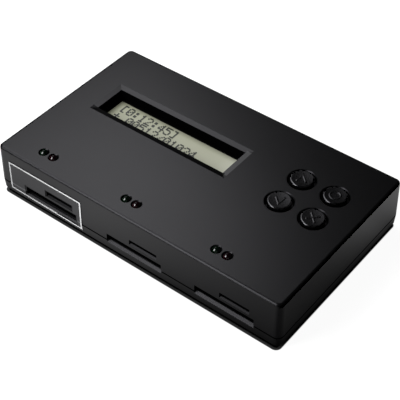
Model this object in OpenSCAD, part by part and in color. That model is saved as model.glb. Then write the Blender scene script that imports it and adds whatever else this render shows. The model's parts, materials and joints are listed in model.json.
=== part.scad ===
// Memory card duplicator: flat two-part case, display, four keys, three pairs of card slots.
// Millimetres. Origin: centre of the footprint on the table.
// X to the right along the front, Y to the rear, Z up.

/* [Case] */
// Width of the case at the joint between the covers
case_width = 131; // [118:0.5:150]
// Depth of the case at the joint between the covers
case_depth = 77.6; // [70:0.2:86]
// Height of the case without the feet
case_height = 20.9; // [20.5:0.1:23]
// Height of the joint between the covers above the underside
joint_height = 4.45; // [4.3:0.05:4.6]
// Visible groove between the covers
joint_groove = 0.7; // [0.4:0.1:0.8]
// Thickness of the side walls
wall = 2.2; // [2:0.1:2.4]
// Thickness of the roof of the upper cover
roof = 2.4; // [2:0.1:2.6]
// Thickness of the floor of the lower cover
floor_thickness = 2; // [1.8:0.1:2.4]
// Taper of the upper side walls in degrees
upper_taper = 1.5; // [0.5:0.25:2]
// Taper of the lower side walls in degrees
lower_taper = 4; // [1:0.5:6]
// Radius of the rounded top edge
edge_radius = 1.2; // [0.8:0.1:1.5]
// Radius of the upright corners at the joint between the covers
corner_radius = 2.6; // [2.4:0.1:3.2]
// Small chamfer round the underside
base_chamfer = 0.5; // [0.2:0.1:0.8]
// Thickness of the locating rim of the lower cover
rim = 1; // [0.8:0.1:1.2]
// Height of the locating rim above the joint
rim_height = 1.4; // [0.8:0.1:1.8]
// Play between the locating rim and the upper cover
rim_play = 0.15; // [0.1:0.05:0.25]

/* [Display] */
// Length of the display opening
window_length = 61.2; // [58:0.2:64]
// Depth of the display opening
window_depth = 14; // [13:0.2:16]
// Width of the bevel round the opening
window_bevel = 2.3; // [1.5:0.1:2.6]
// How far the bevel drops towards the opening
window_drop = 0.35; // [0.2:0.05:0.6]
// Middle of the display from the left side of the case
display_inset = 45.8; // [45:0.1:46.5]
// Middle of the display from the rear of the case
display_setback = 30.1; // [29.4:0.1:30.8]
// Thickness of the skirt below the opening
skirt = 1.4; // [1:0.1:1.6]
// Width of the frame seen inside the opening
frame_border = 1.2; // [0.6:0.1:1.8]
// Length of the display frame
frame_length = 71; // [70:0.5:72]
// Depth of the display frame
frame_depth = 22; // [21:0.5:23]
// Sheet thickness of the display frame
frame_sheet = 0.4; // [0.3:0.1:0.6]
// Play between the glass and its frame
glass_play = 0.4; // [0.2:0.1:0.6]
// Thickness of the display glass
glass_thickness = 2; // [1.6:0.1:2.2]
// Thickness of the light guide behind the glass
guide_thickness = 1.6; // [1.4:0.1:2]
// Length of the display board
display_board_length = 80; // [79:0.5:81]
// Depth of the display board
display_board_depth = 36; // [35.5:0.5:36.5]
// Distance of the display screws from the edges of their board
display_screw_inset = 2.5; // [2.4:0.1:2.8]
// Height of the strip that joins the two boards
strip_height = 2.5; // [2.3:0.1:2.6]
// Length of the strip that joins the two boards
strip_length = 40.6; // [30:0.2:42]
// Width of the strip that joins the two boards
strip_width = 2.5; // [2:0.1:2.6]
// Distance of the strip from the rear edge of the display board
strip_margin = 0.4; // [0.2:0.1:1]

/* [Keys] */
// Distance between neighbouring keys
key_pitch = 14.3; // [14:0.1:15]
// Middle of the four keys from the right side of the case
keys_inset = 22.25; // [21.6:0.05:22.8]
// Middle of the four keys from the rear of the case
keys_setback = 29.85; // [29.3:0.05:30.6]
// Diameter of a key cap
key_diameter = 9; // [8.6:0.1:9.3]
// Gap between a cap and its hole
key_gap = 0.85; // [0.6:0.05:0.9]
// How far a cap stands above the roof
key_proud = 0.8; // [0.6:0.1:1.2]
// Rounding of the rim of a cap
key_rounding = 0.5; // [0.4:0.05:0.6]
// Depth of the finger dish in a cap
key_dish = 0.12; // [0.1:0.02:0.2]
// Chamfer round the key holes and the lamp holes
hole_chamfer = 0.35; // [0.15:0.05:0.4]
// Travel of a key
key_travel = 0.5; // [0.3:0.05:0.6]
// How far the collar of a cap reaches under the roof
collar_reach = 0.6; // [0.5:0.05:0.65]
// Thickness of the collar of a cap
collar_thickness = 1.2; // [1:0.1:1.4]
// Play above the collar at rest
collar_play = 0.1; // [0.05:0.05:0.2]
// Diameter of the post below a cap
post_diameter = 5; // [4.4:0.1:6]
// Side of a switch housing
switch_side = 6; // [5.8:0.1:6.4]
// Height of a switch housing
switch_height = 3.5; // [3.2:0.1:3.8]
// Diameter of a switch plunger
plunger_diameter = 3.4; // [3:0.1:3.5]
// Height of a switch plunger above its housing
plunger_height = 3.2; // [2.6:0.1:3.6]
// Depth of the well a plunger slides in
well_depth = 1.5; // [1.4:0.1:1.8]
// Gap round a plunger in its well
well_gap = 0.3; // [0.3:0.05:0.4]

/* [Card slots] */
// Middle of the left slot pair from the left side of the case
slots_left = 26.6; // [26:0.1:27.2]
// Middle of the right slot pair from the right side of the case
slots_right = 23.4; // [22.8:0.1:24]
// Width of a wide slot
wide_slot = 25.5; // [25:0.1:26]
// Height of the room for a wide card above the joint
wide_slot_height = 2.25; // [2.15:0.05:2.4]
// Rise of a wide slot above the underside of the board
wide_slot_rise = 0.8; // [0.5:0.05:0.9]
// Drop of the sloping lip under a wide slot
lip_drop = 0.8; // [0.5:0.05:1]
// Depth of the sloping lip under a wide slot
lip_depth = 1.3; // [0.8:0.05:1.5]
// Width of a narrow slot
narrow_slot = 12.7; // [12:0.1:13.4]
// Height of a narrow slot
narrow_slot_height = 2.05; // [1.9:0.05:2.2]
// Bottom of a narrow slot above the main board
narrow_slot_rise = 0.75; // [0.65:0.05:0.85]
// Drop of the sloping lip under a narrow slot
narrow_lip_drop = 0.45; // [0.3:0.05:0.55]
// Depth of the sloping lip under a narrow slot
narrow_lip_depth = 0.65; // [0.4:0.05:0.8]
// Shift of a narrow slot from the middle of its pair
narrow_shift = 4.4; // [4:0.1:4.6]
// Outside width of a wide socket
wide_socket = 27; // [26.6:0.1:27.4]
// Outside depth of a wide socket
wide_socket_depth = 27.5; // [26:0.5:28]
// Outside height of a wide socket
wide_socket_height = 2.9; // [2.8:0.05:3]
// Width of the card room in a wide socket
wide_room = 24.4; // [24.2:0.1:24.8]
// Outside width of a narrow socket
narrow_socket = 14; // [13.8:0.1:14.2]
// Outside depth of a narrow socket
narrow_socket_depth = 15; // [14:0.5:15.5]
// Outside height of a narrow socket
narrow_socket_height = 2.2; // [2.1:0.05:2.3]
// Width of the card room in a narrow socket
narrow_room = 11.4; // [11.2:0.1:11.8]
// Sheet thickness of the socket shells
shell_sheet = 0.25; // [0.2:0.05:0.3]
// Thickness of the floor of a wide socket base
wide_floor = 0.5; // [0.4:0.05:0.55]
// Thickness of the floor of a narrow socket base
narrow_floor = 0.9; // [0.85:0.05:0.95]
// Gap between a socket and the rim in front of it
socket_gap = 0.3; // [0.2:0.05:0.5]
// Thickness of a contact blade
blade = 0.15; // [0.1:0.05:0.2]
// Width of a contact blade
blade_width = 0.6; // [0.4:0.05:0.7]
// Number of contact blades in a wide socket
wide_blades = 9; // [7:1:9]
// Distance between the blades of a wide socket
wide_blade_pitch = 2.4; // [2.2:0.1:2.5]
// Number of contact blades in a narrow socket
narrow_blades = 8; // [6:1:8]
// Distance between the blades of a narrow socket
narrow_blade_pitch = 1.1; // [1:0.05:1.2]
// Thickness of the stop at the rear of a socket
socket_stop = 2; // [1.5:0.1:3]

/* [Lamps] */
// Diameter of a lamp
lamp_diameter = 3; // [2.8:0.1:3.2]
// Gap between a lamp and its hole
lamp_gap = 0.3; // [0.2:0.05:0.4]
// Distance between the two lamps of a pair
lamp_pitch = 4.8; // [4.6:0.1:5]
// Middle of a lamp pair from the middle of its slot pair
lamp_shift = -7.1; // [-7.6:0.1:-6.9]
// Distance of the lamps from the front edge of the case
lamp_inset = 8.2; // [7.8:0.1:9]
// How far the dome of a lamp stands above the roof
lamp_proud = 0.9; // [0.5:0.1:1.1]
// Length of a lamp from its collar to the tip
lamp_length = 4.6; // [4.2:0.1:5]
// Thickness of the collar of a lamp
lamp_collar = 1; // [0.8:0.1:1.2]
// How far the collar of a lamp reaches out
lamp_collar_reach = 0.4; // [0.2:0.05:0.5]
// Thickness of a lamp lead
lead = 0.5; // [0.4:0.05:0.6]
// Distance between the leads of a lamp
lead_pitch = 2.54; // [2.2:0.02:2.6]

/* [Main board] */
// Thickness of the boards
board_thickness = 1.6; // [1.2:0.1:1.7]
// Gap between the main board and the side walls
board_gap = 1.7; // [1.5:0.1:2]
// Gap between the main board and the corner posts
notch_gap = 0.85; // [0.5:0.05:1.2]
// Gap between the small sockets and the controller chip
chip_gap = 1; // [0.5:0.1:2]
// Side of the controller chip
chip_side = 12; // [8:0.5:12]
// Height of the controller chip
chip_height = 1.2; // [0.9:0.1:1.4]

/* [Power inlet] */
// Gap between the inlet and the display board
inlet_gap = 5.2; // [4.7:0.1:6.2]
// Width of the inlet housing
inlet_width = 9; // [8.6:0.1:9.2]
// Height of the inlet housing
inlet_height = 9.2; // [9:0.1:9.4]
// Depth of the inlet housing
inlet_depth = 13.2; // [12.5:0.1:13.4]
// Diameter of the plug room
inlet_bore = 6.3; // [6.2:0.1:6.6]
// Depth of the plug room
inlet_bore_depth = 10; // [9:0.5:10.5]
// Diameter of the centre pin
pin_diameter = 2; // [1.8:0.1:2.2]
// How far the centre pin stays behind the mouth
pin_recess = 4.4; // [4.4:0.1:5]
// Diameter of the hole in the rear wall
inlet_hole = 8; // [7.6:0.1:8.4]

/* [Label] */
// Width of the label
label_width = 36.4; // [32:0.2:37]
// Height of the label
label_height = 13.8; // [13:0.2:14.4]
// Bottom of the label above the underside of the case
label_bottom = 1.8; // [1.6:0.1:2.1]
// Middle of the label from the middle of the left slot pair
label_shift = -2.7; // [-3:0.1:-2.2]
// Thickness of the label
label_thickness = 0.2; // [0.1:0.05:0.3]
// Margin between the label and the slots it goes round
label_margin = 0.6; // [0.3:0.1:0.8]

/* [Screws and feet] */
// Diameter of the screw posts in the case corners
corner_post = 5.6; // [5.4:0.1:5.8]
// Distance of the corner screws from the sides of the case
corner_inset = 6.1; // [6:0.1:6.2]
// Distance of the corner screws from the front and the rear of the case
corner_setback = 6.6; // [6.4:0.1:7]
// Diameter of a case screw
case_screw = 2.6; // [2.4:0.1:2.8]
// Length of a case screw below its head
case_screw_length = 11; // [9:0.5:14]
// Diameter of the head of a case screw
case_screw_head = 4.6; // [4.2:0.1:4.8]
// Height of the head of a case screw
case_screw_head_height = 1.3; // [1:0.1:1.4]
// Diameter of the small screws
small_screw = 2; // [1.8:0.1:2.2]
// Length of the small screws below the head
small_screw_length = 5; // [4.5:0.1:5.5]
// Diameter of the head of the small screws
small_screw_head = 3.6; // [3.4:0.1:4]
// Height of the head of the small screws
small_screw_head_height = 1.2; // [1:0.1:1.4]
// Diameter of the posts for the small screws
small_post = 4.4; // [4.2:0.1:4.8]
// Play round the screws
screw_play = 0.05; // [0.04:0.01:0.1]
// Distance of the rear board screws from the sides of the case
rear_screw_inset = 15.5; // [14.5:0.5:17.5]
// Distance of the rear board screws from the rear of the case
rear_screw_setback = 9.4; // [8.8:0.1:9.6]
// Diameter of a rubber foot
foot_diameter = 9; // [7:0.5:10]
// Height of a rubber foot
foot_height = 1.9; // [1.6:0.1:2.1]
// Distance of the feet from the sides of the case
foot_inset = 15; // [14:0.5:18]
// Distance of the feet from the front and the rear of the case
foot_setback = 11; // [10.5:0.5:14]

/* [Hidden] */
$fn = 64;
nudge = 0.01;
over = 1;
half_width = case_width / 2;
half_depth = case_depth / 2;
base_z = foot_height;
joint_z = base_z + joint_height;
cover_z = joint_z + joint_groove / 2;
tray_z = joint_z - joint_groove / 2;
top_z = base_z + case_height;
roof_z = top_z - roof;
floor_z = base_z + floor_thickness;
rim_z = joint_z + rim_height;

// Corner axis and flank of the rounded, tapered outline
arc_z = top_z - edge_radius;
flank_z = arc_z + edge_radius * sin(upper_taper);
flank_r = corner_radius - (flank_z - cover_z) * tan(upper_taper);
arc_r = flank_r - edge_radius * cos(upper_taper);
corner_x = half_width - corner_radius;
corner_y = half_depth - corner_radius;
base_r = corner_radius - (tray_z - base_z - base_chamfer) * tan(lower_taper);

// Inside of the covers
room_x = half_width - wall;
room_y = half_depth - wall;
rim_x = room_x - rim_play;
rim_y = room_y - rim_play;
tray_x = rim_x - rim;
tray_y = rim_y - rim;

// Cuts through the wall, and through the wall and the rim behind it
wall_cut = 2 * (wall + over);
rim_cut = 2 * (wall + rim_play + rim + over);

// Places of the display, the keys and the slot pairs
window_x = -half_width + display_inset;
window_y = half_depth - display_setback;
keys_x = half_width - keys_inset;
keys_y = half_depth - keys_setback;
slots_x = (slots_left - slots_right) / 2;
slot_pitch = (case_width - slots_left - slots_right) / 2;
pair_x = [for (i = [-1:1]) slots_x + i * slot_pitch];

// Main board and what stands on it
board_z = joint_z + wide_slot_height;
board_top = board_z + board_thickness;
board_x = room_x - board_gap;
board_front = -tray_y + socket_gap;
board_rear = room_y - board_gap;
notch_x = half_width - corner_inset - corner_post / 2 - notch_gap;
notch_y = half_depth - corner_setback - corner_post / 2 - notch_gap;
narrow_z = board_top + narrow_slot_rise;
narrow_face = -half_depth + (narrow_z - cover_z) * tan(upper_taper);
lamp_y = -half_depth + lamp_inset;
lamp_tip = top_z + lamp_proud;
lamp_base = lamp_tip - lamp_length;
lamp_collar_diameter = lamp_diameter + 2 * lamp_collar_reach;
front_screw_y = board_front + wide_socket_depth / 2;
rear_screw_x = half_width - rear_screw_inset;
rear_screw_y = half_depth - rear_screw_setback;
board_screws_at = [
    [slots_x - slot_pitch / 2, front_screw_y], [slots_x + slot_pitch / 2, front_screw_y],
    [-rear_screw_x, rear_screw_y], [rear_screw_x, rear_screw_y]
];
chip_x = slots_x;
chip_y = board_front + narrow_socket_depth + chip_gap + chip_side / 2;
inlet_x = window_x + display_board_length / 2 + inlet_gap + inlet_width / 2;
inlet_z = board_top + inlet_height / 2;

// Display stack, from the main board up
display_board_z = board_top + strip_height;
display_board_top = display_board_z + board_thickness;
glass_z = display_board_top + guide_thickness;
glass_top = glass_z + glass_thickness;
frame_top = glass_top + frame_sheet;
view_length = window_length - 2 * frame_border;
view_depth = window_depth - 2 * frame_border;
glass_length = frame_length - 2 * (frame_sheet + glass_play);
glass_depth = frame_depth - 2 * (frame_sheet + glass_play);
strip_y = window_y + display_board_depth / 2 - strip_margin - strip_width / 2;
display_screw_x = display_board_length / 2 - display_screw_inset;
display_screw_y = display_board_depth / 2 - display_screw_inset;
display_screws_at = [
    for (i = [-1, 1], j = [-1, 1]) [window_x + i * display_screw_x, window_y + j * display_screw_y]
];

// Keys from the cap down to the switch
key_hole = key_diameter + 2 * key_gap;
key_top = top_z + key_proud;
collar_top = roof_z - collar_play;
collar_z = collar_top - collar_thickness;
collar_diameter = key_hole + 2 * collar_reach;
plunger_top = board_top + switch_height + plunger_height;
plunger_z = board_top + switch_height - well_depth + key_travel + well_gap;
dish_radius = key_diameter / 2 - key_rounding;
dish_sphere = (pow(dish_radius, 2) + pow(key_dish, 2)) / (2 * key_dish);

// Screws and posts
corner_screw_x = half_width - corner_inset;
corner_screw_y = half_depth - corner_setback;
corner_screws_at = [for (i = [-1, 1], j = [-1, 1]) [i * corner_screw_x, j * corner_screw_y]];
post_meet_z = rim_z + screw_play;
counterbore = case_screw_head_height + screw_play;
screw_tip = base_z + counterbore + case_screw_length;

// Tints of the lamps
green = [0.1, 0.3, 0.12];
red = [0.35, 0.06, 0.05];

// Block with its middle on x and y and its underside on z
module slab(x, y, z, size) {
    translate([x - size[0] / 2, y - size[1] / 2, z]) cube(size);
}

// Upright cylinder from a height up
module rod(x, y, z, diameter, height) {
    translate([x, y, z]) cylinder(d = diameter, h = height);
}

// Hole through the roof with a chamfered rim
module roof_hole(x, y, diameter) {
    rod(x, y, roof_z - over, diameter, roof + 2 * over);
    translate([x, y, top_z - hole_chamfer])
        cylinder(d1 = diameter, d2 = diameter + 2 * (hole_chamfer + over), h = hole_chamfer + over);
}

// Wedge that slopes the lip under a slot: it starts on the face and ends at the floor of the slot
module lip_wedge(x, width, face, floor_height, depth, drop) {
    steep = drop / depth;
    translate([x - width / 2, 0, 0]) rotate([90, 0, 90]) linear_extrude(width) polygon([
        [face - over, floor_height - drop - over * steep],
        [face + depth + over / steep, floor_height + over],
        [face - over, floor_height + over]
    ]);
}

// Section of the upper wall, measured outward from the corner axis
module upper_section() {
    polygon([
        [0, cover_z], [corner_radius, cover_z], [flank_r, flank_z],
        [arc_r, arc_z], [arc_r, top_z], [0, top_z]
    ]);
    translate([arc_r, arc_z]) intersection() {
        circle(r = edge_radius);
        polygon([
            [0, 0], [2 * (flank_r - arc_r), 2 * (flank_z - arc_z)],
            [2 * edge_radius, 2 * edge_radius], [0, 2 * edge_radius]
        ]);
    }
}

// Section of the lower wall, measured outward from the corner axis
module lower_section() {
    polygon([
        [0, base_z], [base_r - base_chamfer, base_z], [base_r, base_z + base_chamfer],
        [corner_radius, tray_z], [0, tray_z]
    ]);
}

// Rounded block: the section is carried along the sides and round the corners
module carried(low, high) {
    translate([-corner_x, -corner_y, low]) cube([2 * corner_x, 2 * corner_y, high - low]);
    for (turn = [0, 180]) rotate([0, 0, turn]) {
        translate([corner_x, corner_y, 0]) rotate([90, 0, 0]) linear_extrude(2 * corner_y) children();
        translate([-corner_x, corner_y, 0]) rotate([90, 0, 90]) linear_extrude(2 * corner_x) children();
        translate([corner_x, corner_y, 0]) rotate_extrude(angle = 90) children();
        translate([-corner_x, corner_y, 0]) rotate([0, 0, 90]) rotate_extrude(angle = 90) children();
    }
}

// Funnel with sloping sides that opens upward, for the bevel of the display opening
module funnel(length, depth, grow, low, high) {
    steep = grow / (high - low);
    more = grow + over * steep;
    intersection() {
        rotate([90, 0, 0]) linear_extrude(depth + 4 * more, center = true) polygon([
            [-length / 2, low], [length / 2, low],
            [length / 2 + more, high + over], [-length / 2 - more, high + over]
        ]);
        rotate([90, 0, 90]) linear_extrude(length + 4 * more, center = true) polygon([
            [-depth / 2, low], [depth / 2, low],
            [depth / 2 + more, high + over], [-depth / 2 - more, high + over]
        ]);
    }
}

module top_cover() {
    color([0.08, 0.08, 0.085]) difference() {
        union() {
            difference() {
                carried(cover_z, top_z) upper_section();
                slab(0, 0, base_z, [2 * room_x, 2 * room_y, roof_z - base_z]);
            }
            slab(window_x, window_y, frame_top,
                [window_length + 2 * skirt, window_depth + 2 * skirt, roof_z - frame_top + nudge]);
            for (p = corner_screws_at)
                rod(p[0], p[1], post_meet_z, corner_post, roof_z - post_meet_z + nudge);
            for (p = display_screws_at)
                rod(p[0], p[1], display_board_top, small_post, roof_z - display_board_top + nudge);
        }
        slab(window_x, window_y, floor_z, [window_length, window_depth, case_height]);
        translate([window_x, window_y, 0])
            funnel(window_length, window_depth, window_bevel, top_z - window_drop, top_z);
        for (i = [-1, 1], j = [-1, 1])
            roof_hole(keys_x + i * key_pitch / 2, keys_y + j * key_pitch / 2, key_hole);
        for (x = pair_x) {
            for (side = [-1, 1])
                roof_hole(x + lamp_shift + side * lamp_pitch / 2, lamp_y, lamp_diameter + 2 * lamp_gap);
            slab(x, -half_depth, joint_z - over,
                [wide_slot, wall_cut, wide_slot_height + wide_slot_rise + over]);
            slab(x + narrow_shift, -half_depth, narrow_z, [narrow_slot, wall_cut, narrow_slot_height]);
            lip_wedge(x + narrow_shift, narrow_slot, narrow_face, narrow_z,
                narrow_lip_depth, narrow_lip_drop);
        }
        translate([inlet_x, half_depth + over, inlet_z])
            rotate([90, 0, 0]) cylinder(d = inlet_hole, h = wall + 2 * over);
        for (p = corner_screws_at)
            rod(p[0], p[1], post_meet_z - nudge,
                case_screw + 2 * screw_play, screw_tip - post_meet_z + over);
        for (p = display_screws_at)
            rod(p[0], p[1], display_board_top - nudge, small_screw + 2 * screw_play, small_screw_length);
    }
}

module bottom_cover() {
    color([0.07, 0.07, 0.075]) difference() {
        union() {
            difference() {
                carried(base_z, tray_z) lower_section();
                slab(0, 0, floor_z, [2 * tray_x, 2 * tray_y, case_height]);
            }
            difference() {
                slab(0, 0, tray_z - nudge, [2 * rim_x, 2 * rim_y, rim_z - tray_z + nudge]);
                slab(0, 0, floor_z, [2 * tray_x, 2 * tray_y, case_height]);
            }
            for (p = corner_screws_at)
                rod(p[0], p[1], floor_z - nudge, corner_post, rim_z - floor_z + nudge);
            for (p = board_screws_at)
                rod(p[0], p[1], floor_z - nudge, small_post, board_z - floor_z + nudge);
        }
        for (x = pair_x) {
            slab(x, -half_depth, tray_z, [wide_slot, rim_cut, case_height]);
            lip_wedge(x, wide_slot, -half_depth, tray_z, lip_depth, lip_drop);
        }
        for (p = corner_screws_at) {
            rod(p[0], p[1], base_z - over, case_screw + 2 * screw_play, case_height);
            rod(p[0], p[1], base_z - over, case_screw_head + 2 * screw_play, counterbore + over);
        }
        for (p = board_screws_at)
            rod(p[0], p[1], floor_z, small_screw + 2 * screw_play, case_height);
    }
}

module main_board() {
    color([0.05, 0.25, 0.12]) difference() {
        translate([-board_x, board_front, board_z])
            cube([2 * board_x, board_rear - board_front, board_thickness]);
        for (i = [-1, 1], j = [-1, 1])
            slab(i * (notch_x + half_width / 2), j * (notch_y + half_depth / 2), board_z - over,
                [half_width, half_depth, board_thickness + 2 * over]);
        for (p = board_screws_at)
            rod(p[0], p[1], board_z - over, small_screw + 2 * screw_play, board_thickness + 2 * over);
    }
}

module controller_chip() {
    color([0.1, 0.1, 0.1]) slab(chip_x, chip_y, board_top, [chip_side, chip_side, chip_height]);
}

// Bent sheet over a socket, open at the front and towards the board
module socket_shell(width, depth, height) {
    difference() {
        translate([-width / 2, 0, 0]) cube([width, depth, height]);
        translate([-width / 2 + shell_sheet, -over, -over])
            cube([width - 2 * shell_sheet, depth + 2 * over, height - shell_sheet + over]);
    }
}

// Plastic base of a socket: floor on the board, two rails and a rear stop round the card room
module socket_base(width, depth, height, base, room, blades, pitch) {
    inner = width - 2 * shell_sheet - 2 * nudge;
    difference() {
        translate([-inner / 2, 0, 0]) cube([inner, depth, height - shell_sheet]);
        translate([-room / 2, -over, base]) cube([room, depth - socket_stop + over, height]);
        for (i = [0:blades - 1])
            translate([(i - (blades - 1) / 2) * pitch - blade_width / 2, depth / 2, base - blade])
                cube([blade_width, depth / 2 - socket_stop, height]);
    }
}

// Contact blades that lie in the floor of a base
module socket_blades(depth, base, blades, pitch) {
    for (i = [0:blades - 1])
        translate([(i - (blades - 1) / 2) * pitch, depth / 2 + nudge, base - blade])
            translate([-blade_width / 2 + nudge, 0, 0])
                cube([blade_width - 2 * nudge, depth / 2 - socket_stop - 2 * nudge, 2 * blade]);
}

// Sockets under the board hang with their open side up
module at_wide(i) {
    translate([pair_x[i], board_front, board_z]) mirror([0, 0, 1]) children();
}

module at_narrow(i) {
    translate([pair_x[i] + narrow_shift, board_front, board_top]) children();
}

module sd_shell(i) {
    color([0.75, 0.75, 0.76]) at_wide(i)
        socket_shell(wide_socket, wide_socket_depth, wide_socket_height);
}

module sd_base(i) {
    color([0.09, 0.09, 0.09]) at_wide(i) socket_base(
        wide_socket, wide_socket_depth, wide_socket_height, wide_floor,
        wide_room, wide_blades, wide_blade_pitch
    );
}

module sd_contacts() {
    color([0.83, 0.66, 0.3]) for (i = [0:2])
        at_wide(i) socket_blades(wide_socket_depth, wide_floor, wide_blades, wide_blade_pitch);
}

module micro_shell(i) {
    color([0.75, 0.75, 0.76]) at_narrow(i)
        socket_shell(narrow_socket, narrow_socket_depth, narrow_socket_height);
}

module micro_base(i) {
    color([0.09, 0.09, 0.09]) at_narrow(i) socket_base(
        narrow_socket, narrow_socket_depth, narrow_socket_height, narrow_floor,
        narrow_room, narrow_blades, narrow_blade_pitch
    );
}

module micro_contacts() {
    color([0.83, 0.66, 0.3]) for (i = [0:2])
        at_narrow(i) socket_blades(narrow_socket_depth, narrow_floor, narrow_blades, narrow_blade_pitch);
}

module display_board() {
    color([0.05, 0.22, 0.1]) difference() {
        slab(window_x, window_y, display_board_z,
            [display_board_length, display_board_depth, board_thickness]);
        for (p = display_screws_at)
            rod(p[0], p[1], display_board_z - over,
                small_screw + 2 * screw_play, board_thickness + 2 * over);
    }
}

module display_guide() {
    color([0.9, 0.92, 0.85])
        slab(window_x, window_y, display_board_top, [glass_length, glass_depth, guide_thickness]);
}

module display_glass() {
    color([0.66, 0.68, 0.58])
        slab(window_x, window_y, glass_z, [glass_length, glass_depth, glass_thickness]);
}

module display_frame() {
    color([0.03, 0.03, 0.03]) difference() {
        slab(window_x, window_y, display_board_top,
            [frame_length, frame_depth, frame_top - display_board_top]);
        slab(window_x, window_y, display_board_top - over, [
            frame_length - 2 * frame_sheet, frame_depth - 2 * frame_sheet,
            glass_top - display_board_top + over
        ]);
        slab(window_x, window_y, display_board_top, [view_length, view_depth, case_height]);
    }
}

module display_strip() {
    color([0.1, 0.1, 0.1])
        slab(window_x, strip_y, board_top, [strip_length, strip_width, strip_height]);
}

// Places a part on the key in column i and row j, each -1 or 1
module at_key(i, j) {
    translate([keys_x + i * key_pitch / 2, keys_y + j * key_pitch / 2, 0]) children();
}

module key_section() {
    radius = key_diameter / 2;
    square_top = key_top - key_rounding;
    translate([0, plunger_top]) square([post_diameter / 2, collar_z - plunger_top]);
    translate([0, collar_z]) square([collar_diameter / 2, collar_thickness]);
    translate([0, collar_top]) square([radius, square_top - collar_top]);
    translate([0, square_top]) square([radius - key_rounding, key_rounding]);
    translate([radius - key_rounding, square_top]) intersection() {
        circle(r = key_rounding);
        square(key_rounding);
    }
}

module key_cap(i, j) {
    color([0.06, 0.06, 0.065]) at_key(i, j) difference() {
        rotate_extrude() key_section();
        translate([0, 0, key_top - key_dish + dish_sphere]) sphere(r = dish_sphere);
    }
}

module plunger(i, j) {
    color([0.15, 0.15, 0.15]) at_key(i, j)
        rod(0, 0, plunger_z, plunger_diameter, plunger_top - plunger_z);
}

module switch_housing(i, j) {
    color([0.12, 0.12, 0.12]) at_key(i, j) difference() {
        slab(0, 0, board_top, [switch_side, switch_side, switch_height]);
        rod(0, 0, board_top + switch_height - well_depth,
            plunger_diameter + 2 * well_gap, well_depth + over);
    }
}

// Lamp with a round dome, a collar and two leads to the board
module lamp(i, side, tint) {
    radius = lamp_diameter / 2;
    color(tint) translate([pair_x[i] + lamp_shift + side * lamp_pitch / 2, lamp_y, 0]) {
        rod(0, 0, lamp_base, lamp_collar_diameter, lamp_collar);
        rod(0, 0, lamp_base, lamp_diameter, lamp_length - radius);
        translate([0, 0, lamp_tip - radius]) sphere(r = radius);
        for (k = [-1, 1])
            slab(k * lead_pitch / 2, 0, board_top, [lead, lead, lamp_base - board_top + nudge]);
    }
}

module inlet_housing() {
    mouth_y = room_y;
    color([0.05, 0.05, 0.05]) difference() {
        translate([inlet_x - inlet_width / 2, mouth_y - inlet_depth, board_top])
            cube([inlet_width, inlet_depth, inlet_height]);
        translate([inlet_x, mouth_y + over, inlet_z])
            rotate([90, 0, 0]) cylinder(d = inlet_bore, h = inlet_bore_depth + over);
    }
}

module inlet_pin() {
    color([0.8, 0.8, 0.78]) translate([inlet_x, room_y - pin_recess, inlet_z])
        rotate([90, 0, 0]) cylinder(d = pin_diameter, h = inlet_bore_depth - pin_recess);
}

// Sheet round the left slot pair; it follows the taper of both covers
module source_label() {
    lean = tan(upper_taper);
    lower_lean = tan(lower_taper);
    low_z = base_z + label_bottom;
    high_z = low_z + label_height;
    low_y = -half_depth + (tray_z - low_z) * lower_lean;
    high_y = -half_depth + (high_z - cover_z) * lean;
    middle = pair_x[0] + label_shift;
    slot_low = tray_z - lip_drop - label_margin;
    slot_high = board_z + wide_slot_rise + label_margin;
    narrow_low = narrow_z - narrow_lip_drop - label_margin;
    narrow_high = narrow_z + narrow_slot_height + label_margin;
    color([0.03, 0.03, 0.03]) difference() {
        translate([middle - label_width / 2, 0, 0])
            rotate([90, 0, 90]) linear_extrude(label_width) polygon([
                [low_y, low_z], [-half_depth, tray_z], [-half_depth, cover_z], [high_y, high_z],
                [high_y - label_thickness, high_z], [-half_depth - label_thickness, cover_z],
                [-half_depth - label_thickness, tray_z], [low_y - label_thickness, low_z]
            ]);
        slab(pair_x[0], -half_depth, slot_low,
            [wide_slot + 2 * label_margin, 2 * wall, slot_high - slot_low]);
        slab(pair_x[0] + narrow_shift, -half_depth, narrow_low,
            [narrow_slot + 2 * label_margin, 2 * wall, narrow_high - narrow_low]);
    }
}

module case_screws() {
    color([0.6, 0.6, 0.6]) for (p = corner_screws_at) {
        rod(p[0], p[1], base_z + screw_play, case_screw_head, case_screw_head_height);
        rod(p[0], p[1], base_z + counterbore - nudge, case_screw, case_screw_length + nudge);
    }
}

module board_screws() {
    color([0.6, 0.6, 0.6]) for (p = board_screws_at) {
        rod(p[0], p[1], board_top, small_screw_head, small_screw_head_height);
        rod(p[0], p[1], board_top - small_screw_length, small_screw, small_screw_length + nudge);
    }
}

module display_screws() {
    color([0.6, 0.6, 0.6]) for (p = display_screws_at) {
        rod(p[0], p[1], display_board_z - small_screw_head_height,
            small_screw_head, small_screw_head_height);
        rod(p[0], p[1], display_board_z - nudge, small_screw, small_screw_length + nudge);
    }
}

module rubber_feet() {
    color([0.1, 0.1, 0.1]) for (i = [-1, 1], j = [-1, 1])
        rod(i * (half_width - foot_inset), j * (half_depth - foot_setback), 0,
            foot_diameter, foot_height);
}

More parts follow.
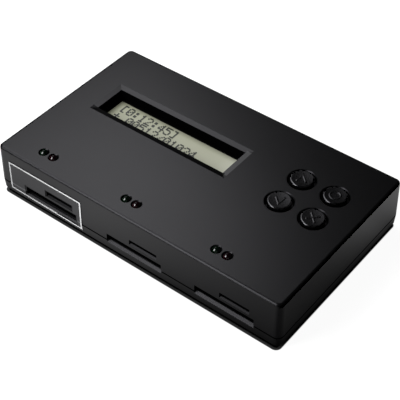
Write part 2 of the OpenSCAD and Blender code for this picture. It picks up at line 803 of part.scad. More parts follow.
top_cover();
bottom_cover();
main_board();
controller_chip();
sd_shell(0);  // sd_shell_1
sd_shell(1);  // sd_shell_2
sd_shell(2);  // sd_shell_3
sd_base(0);  // sd_base_1
sd_base(1);  // sd_base_2
sd_base(2);  // sd_base_3
sd_contacts();
micro_shell(0);  // micro_shell_1
micro_shell(1);  // micro_shell_2
micro_shell(2);  // micro_shell_3
micro_base(0);  // micro_base_1
micro_base(1);  // micro_base_2
micro_base(2);  // micro_base_3
micro_contacts();
display_board();
display_guide();
display_glass();
display_frame();
display_strip();
key_cap(-1, 1);  // key_up
key_cap(-1, -1);  // key_down
key_cap(1, 1);  // key_ring
key_cap(1, -1);  // key_cross
plunger(-1, 1);  // plunger_up
plunger(-1, -1);  // plunger_down
plunger(1, 1);  // plunger_ring
plunger(1, -1);  // plunger_cross
switch_housing(-1, 1);  // switch_up
switch_housing(-1, -1);  // switch_down
switch_housing(1, 1);  // switch_ring
switch_housing(1, -1);  // switch_cross
lamp(0, -1, green);  // lamp_green_1
lamp(1, -1, green);  // lamp_green_2
lamp(2, -1, green);  // lamp_green_3
lamp(0, 1, red);  // lamp_red_1
lamp(1, 1, red);  // lamp_red_2
lamp(2, 1, red);  // lamp_red_3
inlet_housing();
inlet_pin();
source_label();
case_screws();
board_screws();
display_screws();
rubber_feet();
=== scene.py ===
import bpy
import bmesh
import json
import math
from mathutils import Matrix, Vector


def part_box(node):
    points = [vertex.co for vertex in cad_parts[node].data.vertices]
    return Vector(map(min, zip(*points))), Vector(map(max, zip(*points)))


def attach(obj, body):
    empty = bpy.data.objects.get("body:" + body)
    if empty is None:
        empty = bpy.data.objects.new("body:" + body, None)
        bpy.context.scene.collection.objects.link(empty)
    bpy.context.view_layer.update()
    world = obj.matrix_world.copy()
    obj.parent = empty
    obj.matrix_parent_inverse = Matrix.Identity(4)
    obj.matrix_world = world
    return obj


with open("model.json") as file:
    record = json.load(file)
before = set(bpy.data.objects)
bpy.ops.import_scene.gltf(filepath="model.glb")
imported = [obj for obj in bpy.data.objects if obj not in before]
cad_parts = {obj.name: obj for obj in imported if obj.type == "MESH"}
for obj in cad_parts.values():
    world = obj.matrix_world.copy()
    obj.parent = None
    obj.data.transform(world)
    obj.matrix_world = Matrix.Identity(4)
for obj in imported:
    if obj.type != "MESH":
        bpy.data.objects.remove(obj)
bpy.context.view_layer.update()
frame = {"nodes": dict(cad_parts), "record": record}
mm = 0.001
scene = bpy.context.scene
print("frame loaded,", len(frame["nodes"]), "nodes")


class Wire:  # a socket that takes part in Python expressions
    def __init__(self, tree, socket):
        self.tree = tree
        self.socket = socket

    def math(self, operation, *others):
        return self.tree.add("Math", {"operation": operation}, dict(enumerate((self, *others))))

    def mathFrom(self, operation, first):
        return self.tree.add("Math", {"operation": operation}, {0: first, 1: self})

    def __add__(self, other):
        return self.math("ADD", other)

    def __sub__(self, other):
        return self.math("SUBTRACT", other)

    def __mul__(self, other):
        return self.math("MULTIPLY", other)

    def __truediv__(self, other):
        return self.math("DIVIDE", other)

    def __pow__(self, other):
        return self.math("POWER", other)

    def __gt__(self, other):
        return self.math("GREATER_THAN", other)

    def __lt__(self, other):
        return self.math("LESS_THAN", other)

    def __or__(self, other):  # union of two masks
        return self.math("MAXIMUM", other)

    def __and__(self, other):  # overlap of two masks
        return self.math("MINIMUM", other)

    def __abs__(self):
        return self.math("ABSOLUTE")

    def __rsub__(self, other):
        return self.mathFrom("SUBTRACT", other)

    def __rtruediv__(self, other):
        return self.mathFrom("DIVIDE", other)

    def __rpow__(self, other):
        return self.mathFrom("POWER", other)

    __radd__ = __add__
    __rmul__ = __mul__
    __ror__ = __or__
    __rand__ = __and__

    def clamp(self):  # held between 0 and 1
        return (self | 0) & 1


class Tree:  # the nodes of one material or world
    def __init__(self, owner):
        owner.use_nodes = True
        self.nodes = owner.node_tree.nodes
        self.links = owner.node_tree.links
        self.nodes.clear()

    def add(self, kind, settings=None, sockets=None, output=0):
        node = self.nodes.new("ShaderNode" + kind)
        for name, value in (settings or {}).items():
            if name == "stops":
                self.setStops(node.color_ramp.elements, value)
            else:
                setattr(node, name, value)
        for name, value in (sockets or {}).items():
            if isinstance(value, Wire):
                self.links.new(value.socket, node.inputs[name])
            else:
                node.inputs[name].default_value = value
        return Wire(self, node.outputs[output]) if node.outputs else None

    def setStops(self, elements, stops):
        while len(elements) < len(stops):
            elements.new(1.0)
        for element, (place, tone) in zip(elements, stops):
            element.position = place
            element.color = spread(tone)

    def point(self):  # place in the CAD frame, in metres
        return self.add("TexCoord", output="Object")

    def part(self, vector, axis):
        return self.add("SeparateXYZ", None, {0: vector}, axis)

    def facing(self, axis):  # how far the surface faces that way, -1 to 1
        return self.part(self.add("NewGeometry", output="Normal"), axis)

    def ray(self, kind):  # 1 for rays of that kind
        return self.add("LightPath", output="Is " + kind + " Ray")

    def noise(self, point, scale, detail=3, roughness=0.5):
        sockets = {"Vector": point, "Scale": scale, "Detail": detail, "Roughness": roughness}
        return self.add("TexNoise", None, sockets)

    def stretched(self, point, scale):
        return self.add("VectorMath", {"operation": "MULTIPLY"}, {0: point, 1: scale})

    def ramp(self, value, *stops):  # stops of (place, grey)
        tones = [(place, (tone, tone, tone)) for place, tone in stops]
        return self.add("ValToRGB", {"stops": tones}, {0: value})

    def blend(self, share, first, second):  # two colours
        ends = {0: share, 6: spread(first), 7: spread(second)}
        return self.add("Mix", {"data_type": "RGBA"}, ends, 2)

    def span(self, value, low, high):  # 0..1 to low..high
        return value * (high - low) + low

    def inside(self, place, low, high):  # mask of a box, corners in mm
        sides = [(part > least * mm) * (part < most * mm)
                 for part, least, most in zip(place, low, high)]
        return sides[0] * sides[1] * sides[2]

    def bump(self, height, depth):  # depth in mm
        return self.add("Bump", None, {"Strength": 1.0, "Distance": depth * mm, "Height": height})


def spread(tone):  # a colour with its alpha
    if isinstance(tone, Wire) or len(tone) == 4:
        return tone
    return (*tone, 1)


mattRough = 0.5  # of the matt near-black that stands in as painted shade where the gloss is taken out


def finish(name, build, look):
    material = bpy.data.materials.new(name)
    tree = Tree(material)
    sockets = build(tree, look)
    paintedShade = sockets.pop("paintedShade", None)  # share of painted shade: matt near-black in place of the gloss
    shader = tree.add("BsdfPrincipled", None, sockets)
    if paintedShade is not None:
        matt = tree.add("BsdfDiffuse", None, {"Color": spread(look["dark"]), "Roughness": mattRough})
        shader = tree.add("MixShader", None, {0: paintedShade, 1: shader, 2: matt})
    tree.add("OutputMaterial", None, {"Surface": shader})
    return material


# camera at the photograph's angle
view = {
    "azimuth": 38.148,
    "elevation": 44.111,
    "roll": -0.134,
    "distance": 426.37 * mm,
    "target": (-0.467 * mm, 2.623 * mm, 1.065 * mm),
    "lens": 99.722,
    "sensor": 36,
    "nearest": 10 * mm,
}


def makeCamera(look):
    turn, rise = math.radians(look["azimuth"]), math.radians(look["elevation"])
    back = Vector((
        math.sin(turn) * math.cos(rise),
        -math.cos(turn) * math.cos(rise),
        math.sin(rise),
    ))
    data = bpy.data.cameras.new("camera")
    data.lens = look["lens"]
    data.sensor_width = look["sensor"]
    data.clip_start = look["nearest"]
    data.dof.use_dof = False
    camera = bpy.data.objects.new("camera", data)
    scene.collection.objects.link(camera)
    spot = Vector(look["target"]) + look["distance"] * back
    level = back.to_track_quat("Z", "Y").to_matrix().to_4x4()
    roll = Matrix.Rotation(math.radians(look["roll"]), 4, "Z")
    camera.matrix_world = Matrix.Translation(spot) @ level @ roll
    scene.camera = camera


makeCamera(view)
print("camera set")

# a long soft box from the left, a brighter one from the front and a dim room
light = {
    "boxes": {
        "sideBox": {
            "spot": (-270.7 * mm, 49.1 * mm, 376.1 * mm),
            "size": (525 * mm, 221 * mm),
            "radiance": 3.95,
        },
        "frontBox": {
            "spot": (-196 * mm, -365 * mm, 279 * mm),
            "size": (250 * mm, 410 * mm),
            "radiance": 6.8,
        },
    },
    "aim": (0, 0, 20 * mm),
    "tint": (0.985, 0.99, 1.0),
    "room": (0.03, 0.03, 0.03),
    "sweep": (0.02, 0.09),  # rise at which the pale backdrop fades into the dim room
}


def makeLight(look):
    for name, box in look["boxes"].items():
        data = bpy.data.lights.new(name, "AREA")
        data.shape = "RECTANGLE"
        data.size, data.size_y = box["size"]
        data.energy = box["radiance"] * math.pi * data.size * data.size_y
        data.color = look["tint"]
        lamp = bpy.data.objects.new(name, data)
        scene.collection.objects.link(lamp)
        lamp.location = box["spot"]
        away = Vector(look["aim"]) - Vector(box["spot"])
        lamp.rotation_euler = away.to_track_quat("-Z", "Y").to_euler()

    world = bpy.data.worlds.new("room")
    scene.world = world
    tree = Tree(world)
    seen = tree.ray("Camera") | tree.ray("Glossy") | tree.ray("Transmission")
    height = tree.part(tree.add("TexCoord", output="Generated"), "Z")
    low, high = look["sweep"]
    backdrop = tree.ramp(height, (low, 1), (high, 0))
    dim = tree.add("Background", None, {"Color": spread(look["room"])})
    pale = tree.add("Background", None, {"Color": (1, 1, 1, 1)})
    both = tree.add("MixShader", None, {0: seen * backdrop, 1: dim, 2: pale})
    tree.add("OutputWorld", None, {"Surface": both})


makeLight(light)
scene.view_settings.view_transform = "Standard"

floorLook = {
    "half": 4.0,
    "tone": (0.85, 0.85, 0.85),
    "patch": (9, 0.97),  # per metre, and how dark the darker patches are
    "rough": 0.4,
    "under": ((0.05, 0.05, 0.05), (0.001, 0.001, 0.001)),  # in the shade of the case
    "deep": (0.9, 1.3),  # how far in, in mm, the shade turns black
    "white": 1.36,  # what the eye sees of it
    "share": 0.7,  # of that white in the open floor, the rest is lit
    "foot": (65.2, 38.8),  # half size of the shaded part, in mm
    "corner": 2.4,  # its radius
    "edge": 0.3,  # its softness
    # what polished faces see of the floor is painted: light from the left, and the case's shadow falling
    # towards the front right
    "mirror": 1.7,  # most that polished faces see of it
    "peak": (-30, 1.71, 0.0091),  # brightest place along x, its level and the fall per mm
    "start": 1.2,  # added to the gap in mm, left of the flank, so that the level there starts above nil
    "reach": (7.5, 25),  # half-way distance of the rise away from the case, left and right
    "reachFrom": (-30, 80),  # where the left value ends, and how far on the right one starts
    "flank": (65, 0.61),  # right of this it is dimmer by this factor
    "rear": (-20, 22, 3, 0.22, 3.8),  # gain towards the rear there: start, length, curve, rate, most
}


def floorMaterial(look):
    material = bpy.data.materials.new("paleFloor")
    tree = Tree(material)
    point = tree.point()
    x, y = [tree.part(point, axis) / mm for axis in "XY"]
    corner = look["corner"]
    outX = abs(x) - (look["foot"][0] - corner)
    outY = abs(y) - (look["foot"][1] - corner)
    out = ((outX | 0) ** 2 + (outY | 0) ** 2) ** 0.5 + ((outX | outY) & 0) - corner  # mm from the case
    clear = (out / look["edge"] + 0.5).clamp()
    scale, darker = look["patch"]
    pale = tree.blend(tree.noise(point, scale), look["tone"], [t * darker for t in look["tone"]])
    near, deep = look["deep"]
    black = ((out + near) / (near - deep)).clamp()
    tone = tree.blend(clear, tree.blend(black, *look["under"]), pale)
    matt = tree.add("BsdfDiffuse", None, {"Color": tone, "Roughness": look["rough"]})
    glow = tree.add("Emission", None, {"Strength": look["white"]})
    lit = (tree.ray("Camera") | tree.ray("Transmission")) * clear * look["share"]
    seen = tree.add("MixShader", None, {0: lit, 1: matt, 2: glow})

    # painted light and shadow on the floor as polished faces see it
    gap = out | 0
    start, length = look["reachFrom"]
    right = ((x - start) / length).clamp()
    edge, dim = look["flank"]
    away = (gap + (x < edge) * look["start"]) / (gap + tree.span(right ** 2, *look["reach"]))
    middle, level, fall = look["peak"]
    along = level - abs(x - middle) * fall
    start, length, curve, rate, most = look["rear"]
    rear = (((y - start) / length | 0) ** curve * rate + 1 & most) * dim
    flank = (x > edge) * (rear - 1) + 1
    paintedMirrorTone = along * flank * away / look["mirror"] & 1
    paintedReflection = tree.add("Emission", None, {"Color": paintedMirrorTone, "Strength": look["mirror"]})
    both = tree.add("MixShader", None, {0: tree.ray("Glossy"), 1: seen, 2: paintedReflection})
    tree.add("OutputMaterial", None, {"Surface": both})
    return material


def makeFloor(look):
    bm = bmesh.new()
    bmesh.ops.create_grid(bm, x_segments=1, y_segments=1, size=look["half"])
    mesh = bpy.data.meshes.new("floor")
    bm.to_mesh(mesh)
    bm.free()
    mesh.materials.append(floorMaterial(look))
    floor = bpy.data.objects.new("floor", mesh)
    scene.collection.objects.link(floor)


makeFloor(floorLook)
print("light and floor set")

# moulded black plastic: fine spark texture, a little dust on what faces up
mouldedLook = {
    "dark": (0.0008, 0.0008, 0.0009),
    "light": (0.0014, 0.0014, 0.0015),
    "cloud": 42,  # patches of the two, per metre
    "dust": (0.012, 0.012, 0.012),
    "dustShare": 0.06,
    "speck": 1500,  # of dust, per metre
    "lint": (0.68, 9),  # level from which a speck shows, and how sharply
    "rough": (0.300, 0.334),
    "specular": 0.23,
    "tint": (0.955, 0.94, 1.0, 1.0),  # of the gloss, a touch cold
    "grain": 2600,  # per metre
    "depth": 0.0006,
    "recesses": (),
    "films": (),
    # grey of the painted highlight on the window's right bevel
    "film": (0.056, 0.056, 0.057),
    "filmPatch": 0.3,  # how far the painted highlight varies
}
caseLook = dict(mouldedLook, recesses=(  # low and high corner in mm, and share of painted shade that takes the gloss out there
    ((-51.0, 1.0, 17.5), (11.6, 16.4, 22.44), 1.0),  # walls of the display window
    ((-52.6, -0.7, 22.44), (12.0, 1.75, 22.79), 0.7),  # its front bevel
    ((30.5, -4.8, 17.5), (56.7, 21.4, 22.5), 1.0),  # walls of the key holes
    ((-52.0, -38.2, 5.0), (-25.8, -36.0, 9.6), 0.85),  # wide slot within the label
    ((-41.2, -39.5, 10.3), (-27.8, -36.0, 13.4), 0.65),  # and the narrow one
    ((-11.4, -37.75, 5.0), (14.6, -36.0, 9.6), 0.8),  # depths of the other wide slots
    ((29.1, -37.65, 5.0), (55.1, -36.0, 9.6), 0.75),
    ((-0.4, -39.5, 10.4), (12.4, -37.0, 11.0), 0.5),  # lips of the narrow slots
    ((40.1, -39.5, 10.4), (52.9, -37.0, 11.0), 0.62),
), films=(  # corners in mm, and share of the painted highlight
    ((10.95, 0.9, 22.44), (13.25, 16.7, 22.79), 0.7),  # right bevel of the display window, lighter as a painted highlight
))


def moulded(tree, look):
    point = tree.point()
    place = [tree.part(point, axis) for axis in "XYZ"]
    cloud = tree.noise(point, look["cloud"], detail=4, roughness=0.6)
    grain = tree.noise(point, look["grain"], detail=2)
    least, sharpness = look["lint"]
    lint = ((tree.noise(point, look["speck"], detail=1) - least) * sharpness).clamp()
    dust = lint * (tree.facing("Z") | 0) * look["dustShare"]
    base = tree.blend(cloud, look["dark"], look["light"])
    # painted highlight: a lighter grey laid over the boxes
    for start, end, share in look["films"]:
        cover = tree.inside(place, start, end) * (cloud * look["filmPatch"] + share)
        base = tree.blend(cover, base, look["film"])
    sockets = {
        "Base Color": tree.blend(dust, base, look["dust"]),
        "Roughness": tree.span(cloud, *look["rough"]),
        "Specular IOR Level": look["specular"],
        "Specular Tint": look["tint"],
        "Normal": tree.bump(grain, look["depth"]),
    }
    # painted shade in the recesses: the gloss there gives way to matt near-black
    for start, end, share in look["recesses"]:
        mask = tree.inside(place, start, end) * share
        sockets["paintedShade"] = mask | sockets["paintedShade"] if "paintedShade" in sockets else mask
    return sockets


# key caps: satin on the flat, polished on the rim, with painted shade taking part of the gloss off the
# flat
keyLook = dict(mouldedLook, rough=(0.13, 0.16), specular=0.7, grain=3400, depth=0.0003, dustShare=0.1,
               flat=(0.975, 0.99), flatRough=0.12, flatDull=0.6)


def keyCap(tree, look):
    sockets = moulded(tree, look)
    low, high = look["flat"]  # upward slope at which the rim ends and the flat begins
    flat = ((tree.facing("Z") - low) / (high - low)).clamp()
    sockets["Roughness"] = sockets["Roughness"] + flat * look["flatRough"]
    # painted shade on the flat top
    sockets["paintedShade"] = flat * look["flatDull"]
    return sockets


signLook = dict(keyLook, rough=(0.25, 0.29), specular=0.32)
partLook = dict(mouldedLook, dark=(0.006, 0.006, 0.0065), light=(0.012, 0.012, 0.012),
                rough=(0.38, 0.5), specular=0.3, depth=0.002)

# metal: drawn lines under stains
drawnLook = {
    "lines": (260, 9000, 9000),  # per metre along x, y and z
    "stain": 180,  # per metre
    "shares": (0.6, 0.4),  # of lines and stains in the colour
    "depth": 0.002,
}
metalLook = {
    "socket": dict(drawnLook, dark=(0.42, 0.42, 0.43), light=(0.62, 0.62, 0.63), rough=(0.24, 0.4)),
    "gold": dict(drawnLook, dark=(0.62, 0.42, 0.14), light=(0.86, 0.62, 0.26), rough=(0.18, 0.3)),
    "screw": dict(drawnLook, dark=(0.05, 0.05, 0.052), light=(0.12, 0.12, 0.125), rough=(0.3, 0.46)),
    "pin": dict(drawnLook, dark=(0.5, 0.5, 0.5), light=(0.72, 0.71, 0.69), rough=(0.16, 0.3)),
    "frame": dict(drawnLook, dark=(0.004, 0.004, 0.004), light=(0.008, 0.008, 0.008), rough=(0.4, 0.5)),
}


def brushed(tree, look):
    point = tree.point()
    lines = tree.noise(tree.stretched(point, look["lines"]), 1)
    stain = tree.noise(point, look["stain"], detail=4)
    lineShare, stainShare = look["shares"]
    return {
        "Base Color": tree.blend(lines * lineShare + stain * stainShare, look["dark"], look["light"]),
        "Metallic": 1.0,
        "Roughness": tree.span(stain, *look["rough"]),
        "Normal": tree.bump(lines, look["depth"]),
    }


# board: solder mask over copper tracks
boardLook = {
    "mask": (0.008, 0.055, 0.022),
    "maskLight": (0.014, 0.085, 0.035),
    "cloud": 60,  # patches of the two, per metre
    "track": (0.02, 0.13, 0.05),
    "pitch": 1.27,  # tracks, in mm
    "trackHalf": 0.16,  # half width, as a share of the pitch
    "cells": 160,  # per metre, with tracks or without
    "bare": 0.45,  # share of the cells without tracks
    "cover": 0.8,  # how strongly a track shows
    "relief": 0.02,  # its height in mm
    "rough": (0.25, 0.4),
    "coat": 0.2,
}


def solderMask(tree, look):
    point = tree.point()
    cell = tree.add("TexVoronoi", {"distance": "MANHATTAN", "feature": "F1"},
                    {"Vector": point, "Scale": look["cells"]}, "Color")
    steps = (tree.part(point, "X") / (look["pitch"] * mm)).math("FRACT")
    tracked = tree.add("SeparateColor", None, {0: cell}, 0) > look["bare"]
    track = (abs(steps - 0.5) < look["trackHalf"]) * tracked
    cloud = tree.noise(point, look["cloud"], detail=4)
    base = tree.blend(cloud, look["mask"], look["maskLight"])
    return {
        "Base Color": tree.blend(track * look["cover"], base, look["track"]),
        "Roughness": tree.span(cloud, *look["rough"]),
        "Coat Weight": look["coat"],
        "Normal": tree.bump(track, look["relief"]),
    }


# glass of the display: grey green reflector behind a satin polariser
glassLook = {
    "tone": (0.33, 0.34, 0.235),
    "sheen": (0.52, 0.525, 0.43),
    "across": (-50, 62),  # left end and length in mm of the change from tone to the painted sheen of reflected light, brighter to the right
    "stops": ((0, 0.10), (0.75, 0.42), (0.86, 0.55), (0.94, 0.95)),
    "shade": (0.10, 0.10, 0.075),
    "rear": (12.2, 2.6, 1.5, 0.5),  # start, length, curve and share of the shade below the rear wall
    "cloud": (90, 0.06),  # per metre, and its share of the shade
    "cell": 0.6,  # dot grid, in mm
    "gap": (0.9, 0.03),  # where in a cell the gap begins, and its share of the shade
    # painted light: the reflector glows a little, filling the shade in the window
    "glow": (0.40, 0.41, 0.30),
    "glowStrength": 0.10,
    "rough": (0.3, 0.4),
    "specular": 0.3,
}


def displayGlass(tree, look):
    point = tree.point()
    x, y = [tree.part(point, axis) for axis in "XY"]
    scale, cloudShare = look["cloud"]
    cloud = tree.noise(point, scale)
    gap, gapShare = look["gap"]
    stepX, stepY = [(part / (look["cell"] * mm)).math("FRACT") for part in (x, y)]
    grid = (stepX > gap) | (stepY > gap)
    left, length = look["across"]
    sheen = tree.ramp((x / mm - left) / length, *look["stops"])
    start, fall, curve, share = look["rear"]
    below = ((y / mm - start) / fall | 0) ** curve * share
    shade = below + cloud * cloudShare + grid * gapShare
    base = tree.blend(sheen, look["tone"], look["sheen"])
    return {
        "Base Color": tree.blend(shade, base, look["shade"]),
        "Roughness": tree.span(cloud, *look["rough"]),
        "Specular IOR Level": look["specular"],
        "Emission Color": tree.blend(shade, look["glow"], look["shade"]),
        "Emission Strength": look["glowStrength"],
    }


# plain surfaces with a fine mottle
mottleLook = {"cloud": 300, "depth": 0.01}  # patches per metre, relief in mm
inkLook = dict(mottleLook, dark=(0.010, 0.012, 0.008), light=(0.018, 0.021, 0.014), rough=(0.35, 0.5))
# grey of the painted shadow that each display dot throws on the reflector
dotShadowLook = dict(mottleLook, dark=(0.12, 0.125, 0.09), light=(0.15, 0.155, 0.11), rough=(0.35, 0.5))
chipLook = dict(mottleLook, dark=(0.008, 0.008, 0.009), light=(0.02, 0.02, 0.021), rough=(0.5, 0.66))
whiteLook = dict(mottleLook, dark=(0.62, 0.62, 0.6), light=(0.74, 0.74, 0.72), rough=(0.4, 0.55))
rubberLook = dict(mottleLook, dark=(0.009, 0.009, 0.009), light=(0.018, 0.018, 0.018), rough=(0.66, 0.84))


def mottled(tree, look):
    cloud = tree.noise(tree.point(), look["cloud"], detail=5, roughness=0.62)
    return {
        "Base Color": tree.blend(cloud, look["dark"], look["light"]),
        "Roughness": tree.span(cloud, *look["rough"]),
        "Normal": tree.bump(cloud, look["depth"]),
    }


# tinted lamp bodies, dark while off
domeLook = {
    "edge": (0.35, 0.5),  # reach and share of the rim's colour
    "cloud": (500, 0.1),  # per metre, and its share
    "scuffed": (-0.58, 0.13, 0.9),  # painted shade that takes the highlight off the crown: rearward slope where it begins, length of its growth and the most
    "rough": (0.05, 0.12),
    "specular": 0.8,
    "coat": (0.3, 0.04),  # weight and roughness
}
lampLook = {
    "green": dict(domeLook, core=(0.001, 0.005, 0.002), rim=(0.004, 0.038, 0.010),
                  dark=(0.001, 0.004, 0.002)),
    "red": dict(domeLook, core=(0.006, 0.001, 0.002), rim=(0.045, 0.004, 0.010),
                dark=(0.004, 0.001, 0.002)),
}


def tinted(tree, look):
    reach, edgeShare = look["edge"]
    edge = tree.add("LayerWeight", None, {"Blend": reach}, "Facing")
    scale, cloudShare = look["cloud"]
    cloud = tree.noise(tree.point(), scale, detail=2)
    slope, growth, most = look["scuffed"]
    weight, coatRough = look["coat"]
    return {
        "paintedShade": ((tree.facing("Y") - slope) / growth | 0) & most,  # painted shade on all but the front of the dome
        "Base Color": tree.blend(edge * edgeShare + cloud * cloudShare, look["core"], look["rim"]),
        "Roughness": tree.span(cloud, *look["rough"]),
        "Specular IOR Level": look["specular"],
        "Coat Weight": weight,
        "Coat Roughness": coatRough,
    }


# film round the left slots: printed outline on satin black
labelLook = {
    "low": (-59.8, 4.38),  # x and z of the outline's outer corners, in mm
    "high": (-23.4, 17.5),
    "tilt": 0.65,  # how much lower the outline's right bottom corner sits
    "line": 0.64,
    "crease": (7.0, 0.45, 0.8),  # height, half width and share of the crease over the joint: a real dip, with a painted highlight along it
    # lighter grey of the painted highlight along the crease
    "stretched": (0.12, 0.12, 0.125),
    "film": (0.010, 0.010, 0.0105),
    "filmLight": (0.018, 0.018, 0.0185),
    "cloud": 700,  # patches of the two, per metre
    "worn": (0.46, 0.46, 0.46),  # print at the left end
    "print": (0.82, 0.82, 0.82),
    "fade": 0.5,  # curve of the change from worn to fresh print
    "cover": (0.9, 1.0),  # of the print over the film
    "relief": (0.05, 0.04),  # share of the patches, and depth in mm of the crease
    "rough": (0.34, 0.44),
    "specular": 0.3,
}


def labelFilm(tree, look):
    point = tree.point()
    x, z = [tree.part(point, axis) / mm for axis in "XZ"]
    (lowX, lowZ), (highX, highZ) = look["low"], look["high"]
    along = (x - lowX) / (highX - lowX)
    fromSide = (x - lowX) & (highX - x)
    fromEnd = (z - lowZ + along * look["tilt"]) & (highZ - z)
    inward = fromSide & fromEnd
    ring = (inward > 0) * (inward < look["line"])
    cloud = tree.noise(point, look["cloud"], detail=4)
    height, reach, share = look["crease"]
    crease = (1 - abs(z - height) / reach | 0) * share
    film = tree.blend(cloud, look["film"], look["filmLight"])
    film = tree.blend(crease, film, look["stretched"])
    ink = tree.blend(along ** look["fade"], look["worn"], look["print"])
    patchShare, depth = look["relief"]
    return {
        "Base Color": tree.blend(ring * tree.span(cloud, *look["cover"]), film, ink),
        "Roughness": tree.span(cloud, *look["rough"]),
        "Specular IOR Level": look["specular"],
        "Specular Tint": mouldedLook["tint"],
        "Normal": tree.bump(cloud * patchShare - crease, depth),
    }


finishes = {
    "case_black": finish("caseBlack", moulded, caseLook),
    "key_black": finish("keyBlack", keyCap, keyLook),
    "plunger_black": finish("plungerBlack", moulded, partLook),
    "switch_black": finish("switchBlack", moulded, partLook),
    "socket_plastic": finish("socketPlastic", moulded, partLook),
    "socket_steel": finish("socketSteel", brushed, metalLook["socket"]),
    "contact_gold": finish("contactGold", brushed, metalLook["gold"]),
    "screw_steel": finish("screwSteel", brushed, metalLook["screw"]),
    "pin_metal": finish("pinMetal", brushed, metalLook["pin"]),
    "display_frame": finish("displayFrame", brushed, metalLook["frame"]),
    "board_green": finish("boardGreen", solderMask, boardLook),
    "chip_black": finish("chipBlack", mottled, chipLook),
    "guide_white": finish("guideWhite", mottled, whiteLook),
    "foot_rubber": finish("footRubber", mottled, rubberLook),
    "display_glass": finish("displayGlass", displayGlass, glassLook),
    "lamp_green": finish("lampGreen", tinted, lampLook["green"]),
    "lamp_red": finish("lampRed", tinted, lampLook["red"]),
    "label_black": finish("labelFilm", labelFilm, labelLook),
}
inkFinish = finish("displayInk", mottled, inkLook)
dotShadowFinish = finish("displayDotShadow", mottled, dotShadowLook)
signFinish = finish("keySign", moulded, signLook)

for row in frame["record"]["subparts"]:
    node = frame["nodes"][row["node"]]
    node.data.materials.clear()
    node.data.materials.append(finishes[row["material_slot"]])
print("finishes set on", len(frame["nodes"]), "nodes")


def addPiece(name, bm, body, material):
    bmesh.ops.recalc_face_normals(bm, faces=bm.faces)
    mesh = bpy.data.meshes.new(name)
    bm.to_mesh(mesh)
    bm.free()
    mesh.materials.append(material)
    piece = bpy.data.objects.new(name, mesh)
    scene.collection.objects.link(piece)
    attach(piece, body)


# raised signs on the key caps, rounded ridges laid over the dished top
markLook = {
    "stroke": 1.0,  # lengths in mm
    "height": 0.13,
    "sunk": 0.06,
    "half": 1.85,  # of an arrow's width
    "rise": 3.7,  # of an arrow
    "turn": 21,  # of the arrows, in degrees
    "cross": 2.0,
    "ring": 1.95,
    "ringSteps": 56,
    "armSteps": 6,
    "across": 8,  # steps from side to side of a stroke
    "weld": 0.0001,
    "dish": 0.12,
    "capFlat": 4.0,  # radius of the dished part
}


def line(first, last, steps):  # points from one end to the other
    return [first.lerp(last, i / steps) for i in range(steps + 1)]


def strip(first, last, steps):  # rows of points from one cross line to the other
    return [[a.lerp(b, i / steps) for a, b in zip(first, last)] for i in range(steps + 1)]


def arrowStrips(look, sign):
    half, rise, wide = look["half"], look["rise"], look["stroke"] / 2
    slope = math.atan2(rise, half)
    lift = Vector((0, wide / math.cos(slope)))  # mitre at the tip
    tip = line(Vector((0, rise / 2)) + lift, Vector((0, rise / 2)) - lift, look["across"])
    spin = Matrix.Rotation(math.radians(look["turn"]), 2)
    strips = []
    for side in (-1, 1):
        end = Vector((side * half, -rise / 2))
        outward = Vector((side * math.sin(slope), math.cos(slope))) * wide
        foot = line(end + outward, end - outward, look["across"])
        rows = strip(foot, tip, look["armSteps"])
        strips.append([[spin @ Vector((p.x, p.y * sign)) for p in row] for row in rows])
    return strips


def ringStrips(look):
    steps, wide = look["ringSteps"], look["stroke"] / 2
    rows = []
    for i in range(steps + 1):
        turn = Vector((math.cos(math.tau * i / steps), math.sin(math.tau * i / steps)))
        rows.append(line(turn * (look["ring"] + wide), turn * (look["ring"] - wide), look["across"]))
    return [rows]


def crossStrips(look):
    reach, wide = look["cross"] * math.sqrt(2), look["stroke"] / 2
    sides = [wide * (2 * i / look["across"] - 1) for i in range(look["across"] + 1)]
    rows = strip([Vector((abs(s), s)) for s in sides],  # mitred where the arms meet
                 [Vector((reach, s)) for s in sides], look["armSteps"])
    strips = []
    for quarter in range(4):
        spin = Matrix.Rotation(math.radians(45 + 90 * quarter), 2)
        strips.append([[spin @ p for p in row] for row in rows])
    return strips


def ridgeMesh(strips, look):
    bm = bmesh.new()
    across = bm.verts.layers.float.new("across")  # -1 and 1 at the edges of the stroke
    for rows in strips:
        lines = [[bm.verts.new((p.x, p.y, 0)) for p in row] for row in rows]
        for points in lines:
            for i, v in enumerate(points):
                v[across] = 2 * i / look["across"] - 1
        for low, high in zip(lines, lines[1:]):
            for i in range(look["across"]):
                bm.faces.new((low[i], low[i + 1], high[i + 1], high[i]))
    bmesh.ops.remove_doubles(bm, verts=bm.verts, dist=look["weld"])
    for face in bm.faces:
        face.smooth = True
    raised = bmesh.ops.extrude_face_region(bm, geom=bm.faces[:])["geom"]
    for v in raised:
        if isinstance(v, bmesh.types.BMVert):
            v.co.z = look["sunk"] + look["height"] * (1 - v[across] ** 2)
    radius = (look["capFlat"] ** 2 + look["dish"] ** 2) / (2 * look["dish"])
    for v in bm.verts:
        far = v.co.x ** 2 + v.co.y ** 2
        v.co.z += radius - math.sqrt(radius ** 2 - far) - look["dish"] - look["sunk"]
    return bm


def addMark(key, body, strips, look):
    bm = ridgeMesh(strips, look)
    low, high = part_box(key)
    seat = Vector(((low.x + high.x) / 2, (low.y + high.y) / 2, high.z))
    bmesh.ops.scale(bm, verts=bm.verts, vec=(mm, mm, mm))
    bmesh.ops.translate(bm, verts=bm.verts, vec=seat)
    addPiece("mark_" + body, bm, body, signFinish)


addMark("key_up", "up_key", arrowStrips(markLook, 1), markLook)
addMark("key_down", "down_key", arrowStrips(markLook, -1), markLook)
addMark("key_ring", "ring_key", ringStrips(markLook), markLook)
addMark("key_cross", "cross_key", crossStrips(markLook), markLook)
print("key marks laid")

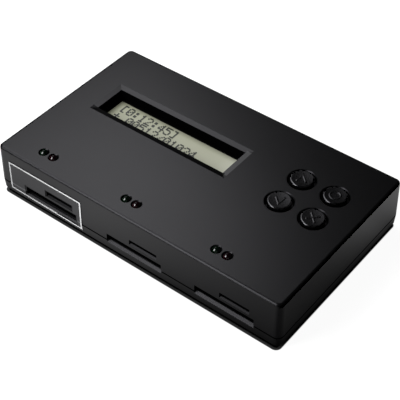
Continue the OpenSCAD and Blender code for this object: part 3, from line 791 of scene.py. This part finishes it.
# dots of the two lines that the display shows, plain numbers only
dotLook = {
    "lines": ("[0:12:45]", "+ 00512/01024"),
    "start": (-46.6, 13.5),  # left edge and top of the first line, in mm
    "step": (3.15, 4.8),  # from character to character and from line to line
    "pitch": (0.56, 0.63),
    "dot": (0.55, 0.62),
    "thick": 0.03,
    "shadowShift": (0.24, -0.16),  # how far aside the painted shadow of a dot lies on the reflector
    "shadowThick": 0.012,
}
glyphs = {
    "0": "01110 10001 10011 10101 11001 10001 01110",
    "1": "00100 01100 00100 00100 00100 00100 01110",
    "2": "01110 10001 00001 00010 00100 01000 11111",
    "4": "00010 00110 01010 10010 11111 00010 00010",
    "5": "11111 10000 11110 00001 00001 10001 01110",
    "+": "00000 00100 00100 11111 00100 00100 00000",
    "/": "00000 00001 00010 00100 01000 10000 00000",
    "[": "01110 01000 01000 01000 01000 01000 01110",
    "]": "01110 00010 00010 00010 00010 00010 01110",
    ":": "00000 01100 01100 00000 01100 01100 00000",
    " ": "00000 00000 00000 00000 00000 00000 00000",
}


def dotSpots(look, shift):  # x and y of the middle of each dot, in mm
    for row, letters in enumerate(look["lines"]):
        for column, letter in enumerate(letters):
            left = look["start"][0] + column * look["step"][0] + shift[0]
            high = look["start"][1] - row * look["step"][1] + shift[1]
            for j, bits in enumerate(glyphs[letter].split()):
                for i, bit in enumerate(bits):
                    if bit == "1":
                        yield left + (i + 0.5) * look["pitch"][0], high - (j + 0.5) * look["pitch"][1]


def addDots(name, look, shift, thick, material):
    bm = bmesh.new()
    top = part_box("display_glass")[1].z
    wide, long = look["dot"]
    size = Matrix.Diagonal((wide * mm, long * mm, 2 * thick * mm, 1))  # half of it within the glass
    for x, y in dotSpots(look, shift):
        place = Matrix.Translation((x * mm, y * mm, top)) @ size
        bmesh.ops.create_cube(bm, size=1, matrix=place)
    addPiece(name, bm, "case", material)


addDots("display_dots", dotLook, (0, 0), dotLook["thick"], inkFinish)
# painted shadow: a lighter copy of the dots, set aside
addDots("display_dot_shadow", dotLook, dotLook["shadowShift"], dotLook["shadowThick"], dotShadowFinish)
print("display dots laid")
